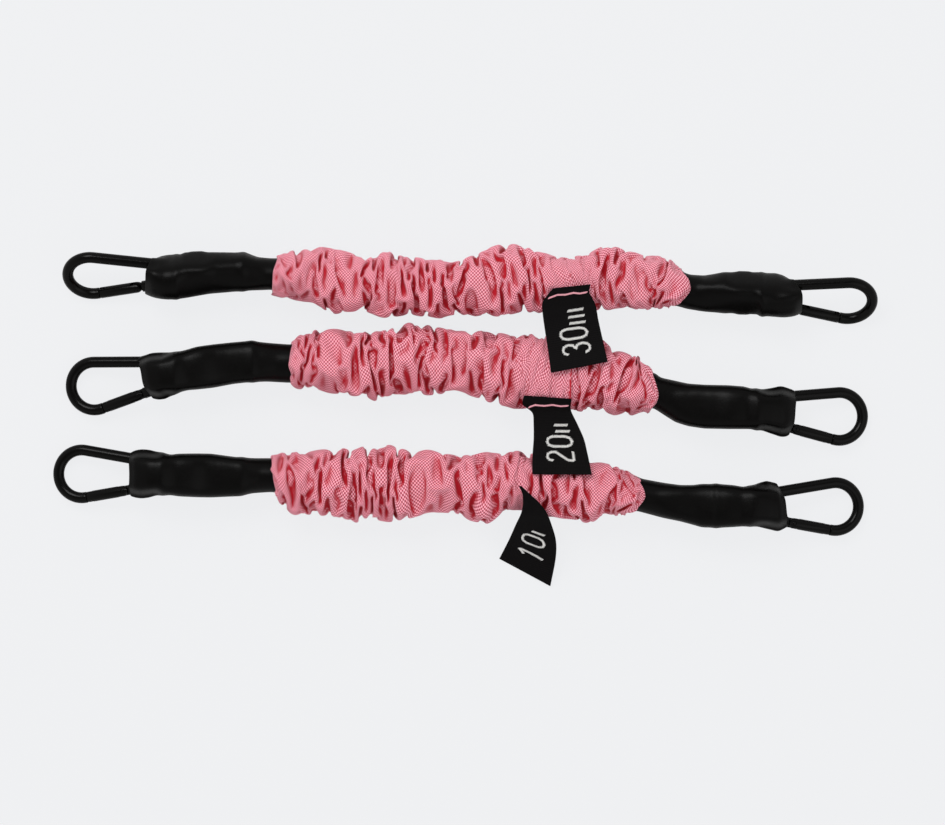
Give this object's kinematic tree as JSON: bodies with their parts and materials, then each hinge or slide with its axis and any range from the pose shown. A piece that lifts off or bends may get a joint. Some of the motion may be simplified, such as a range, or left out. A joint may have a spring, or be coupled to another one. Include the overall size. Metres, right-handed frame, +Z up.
{
  "type": "resistance band set",
  "caption": "Ankle resistance bands: latex tube in a gathered fabric sleeve, shrunk rubber cuffs, a sprung snap hook at each end and a woven strength tag.",
  "frame": {"origin": "on the surface that the set lies on, at the middle of the whole set seen from above", "axes": "+X along the bands to the right of the picture, +Y across them to its top, +Z up"},
  "size_m": [0.3501, 0.1452, 0.0283],
  "materials": {
    "gathered_fabric": "matt woven cloth",
    "sewing_thread": "matt thread",
    "woven_tag": "matt woven label",
    "shrunk_rubber": "satin",
    "latex": "satin",
    "coated_wire": "semi-gloss black",
    "plated_steel": "plated"
  },
  "bodies": {
    "set": {"fabric_sleeve_30": "gathered_fabric", "latex_tube_30": "latex", "woven_tag_30": "woven_tag", "tag_stitching_30": "sewing_thread", "fabric_sleeve_20": "gathered_fabric", "latex_tube_20": "latex", "woven_tag_20": "woven_tag", "tag_stitching_20": "sewing_thread", "fabric_sleeve_10": "gathered_fabric", "latex_tube_10": "latex", "woven_tag_10": "woven_tag", "tag_stitching_10": "sewing_thread"},
    "end_30_left": {"end_cuff_30_left": "shrunk_rubber", "crimp_band_30_left": "plated_steel", "hook_body_30_left": "coated_wire", "gate_rivet_30_left": "plated_steel"},
    "gate_30_left": {"hook_gate_30_left": "coated_wire", "gate_spring_30_left": "plated_steel", "gate_plunger_30_left": "plated_steel"},
    "end_30_right": {"end_cuff_30_right": "shrunk_rubber", "crimp_band_30_right": "plated_steel", "hook_body_30_right": "coated_wire", "gate_rivet_30_right": "plated_steel"},
    "gate_30_right": {"hook_gate_30_right": "coated_wire", "gate_spring_30_right": "plated_steel", "gate_plunger_30_right": "plated_steel"},
    "end_20_left": {"end_cuff_20_left": "shrunk_rubber", "crimp_band_20_left": "plated_steel", "hook_body_20_left": "coated_wire", "gate_rivet_20_left": "plated_steel"},
    "gate_20_left": {"hook_gate_20_left": "coated_wire", "gate_spring_20_left": "plated_steel", "gate_plunger_20_left": "plated_steel"},
    "end_20_right": {"end_cuff_20_right": "shrunk_rubber", "crimp_band_20_right": "plated_steel", "hook_body_20_right": "coated_wire", "gate_rivet_20_right": "plated_steel"},
    "gate_20_right": {"hook_gate_20_right": "coated_wire", "gate_spring_20_right": "plated_steel", "gate_plunger_20_right": "plated_steel"},
    "end_10_left": {"end_cuff_10_left": "shrunk_rubber", "crimp_band_10_left": "plated_steel", "hook_body_10_left": "coated_wire", "gate_rivet_10_left": "plated_steel"},
    "gate_10_left": {"hook_gate_10_left": "coated_wire", "gate_spring_10_left": "plated_steel", "gate_plunger_10_left": "plated_steel"},
    "end_10_right": {"end_cuff_10_right": "shrunk_rubber", "crimp_band_10_right": "plated_steel", "hook_body_10_right": "coated_wire", "gate_rivet_10_right": "plated_steel"},
    "gate_10_right": {"hook_gate_10_right": "coated_wire", "gate_spring_10_right": "plated_steel", "gate_plunger_10_right": "plated_steel"}
  },
  "joints": [
    {"name": "stretch_30_left", "type": "slide", "parent": "set", "child": "end_30_left", "axis": [-0.9994, 0.0343, 0], "range_m": [0, 0.1245], "stiffness_N_per_m": 1553, "deforming": ["fabric_sleeve_30", "latex_tube_30"]},
    {"name": "stretch_30_right", "type": "slide", "parent": "set", "child": "end_30_right", "axis": [0.9994, -0.0343, 0], "range_m": [0, 0.0561], "deforming": ["fabric_sleeve_30", "latex_tube_30"]},
    {"name": "gate_30_left_hinge", "type": "hinge", "parent": "end_30_left", "child": "gate_30_left", "pos_m": [-0.13945, 0.05442, 0.00623], "axis": [0.0482, 0.6703, -0.7405], "range_deg": [0, 28], "stiffness_Nm_per_rad": 0.02, "springref_deg": -5.73},
    {"name": "gate_30_right_hinge", "type": "hinge", "parent": "end_30_right", "child": "gate_30_right", "pos_m": [0.14343, 0.04484, 0.00623], "axis": [0.0095, -0.6719, 0.7405], "range_deg": [0, 28], "stiffness_Nm_per_rad": 0.02, "springref_deg": -5.73},
    {"name": "stretch_20_left", "type": "slide", "parent": "set", "child": "end_20_left", "axis": [-0.9985, 0.0541, 0], "range_m": [0, 0.1174], "stiffness_N_per_m": 1159.4, "deforming": ["fabric_sleeve_20", "latex_tube_20"]},
    {"name": "stretch_20_right", "type": "slide", "parent": "set", "child": "end_20_right", "axis": [0.9985, -0.0541, 0], "range_m": [0, 0.0624], "deforming": ["fabric_sleeve_20", "latex_tube_20"]},
    {"name": "gate_20_left_hinge", "type": "hinge", "parent": "end_20_left", "child": "gate_20_left", "pos_m": [-0.13855, 0.00857, 0.00908], "axis": [0.2215, 0.0391, -0.9744], "range_deg": [0, 28], "stiffness_Nm_per_rad": 0.02, "springref_deg": -5.73},
    {"name": "gate_20_right_hinge", "type": "hinge", "parent": "end_20_right", "child": "gate_20_right", "pos_m": [0.14051, -0.00591, 0.00908], "axis": [0.224, -0.0204, 0.9744], "range_deg": [0, 28], "stiffness_Nm_per_rad": 0.02, "springref_deg": -5.73},
    {"name": "stretch_10_left", "type": "slide", "parent": "set", "child": "end_10_left", "axis": [-0.9988, 0.0493, 0], "range_m": [0, 0.112], "stiffness_N_per_m": 644.2, "deforming": ["fabric_sleeve_10", "latex_tube_10"]},
    {"name": "stretch_10_right", "type": "slide", "parent": "set", "child": "end_10_right", "axis": [0.9988, -0.0493, 0], "range_m": [0, 0.0699], "deforming": ["fabric_sleeve_10", "latex_tube_10"]},
    {"name": "gate_10_left_hinge", "type": "hinge", "parent": "end_10_left", "child": "gate_10_left", "pos_m": [-0.14484, -0.03198, 0.00908], "axis": [0.225, 0, -0.9744], "range_deg": [0, 28], "stiffness_Nm_per_rad": 0.02, "springref_deg": -5.73},
    {"name": "gate_10_right_hinge", "type": "hinge", "parent": "end_10_right", "child": "gate_10_right", "pos_m": [0.13928, -0.04571, 0.00908], "axis": [0.2249, -0.002, 0.9744], "range_deg": [0, 28], "stiffness_Nm_per_rad": 0.02, "springref_deg": -5.73}
  ],
  "couplings": [
    {"joint": "stretch_30_right", "follows": "stretch_30_left", "ratio": 0.449},
    {"joint": "stretch_20_right", "follows": "stretch_20_left", "ratio": 0.53},
    {"joint": "stretch_10_right", "follows": "stretch_10_left", "ratio": 0.622}
  ]
}
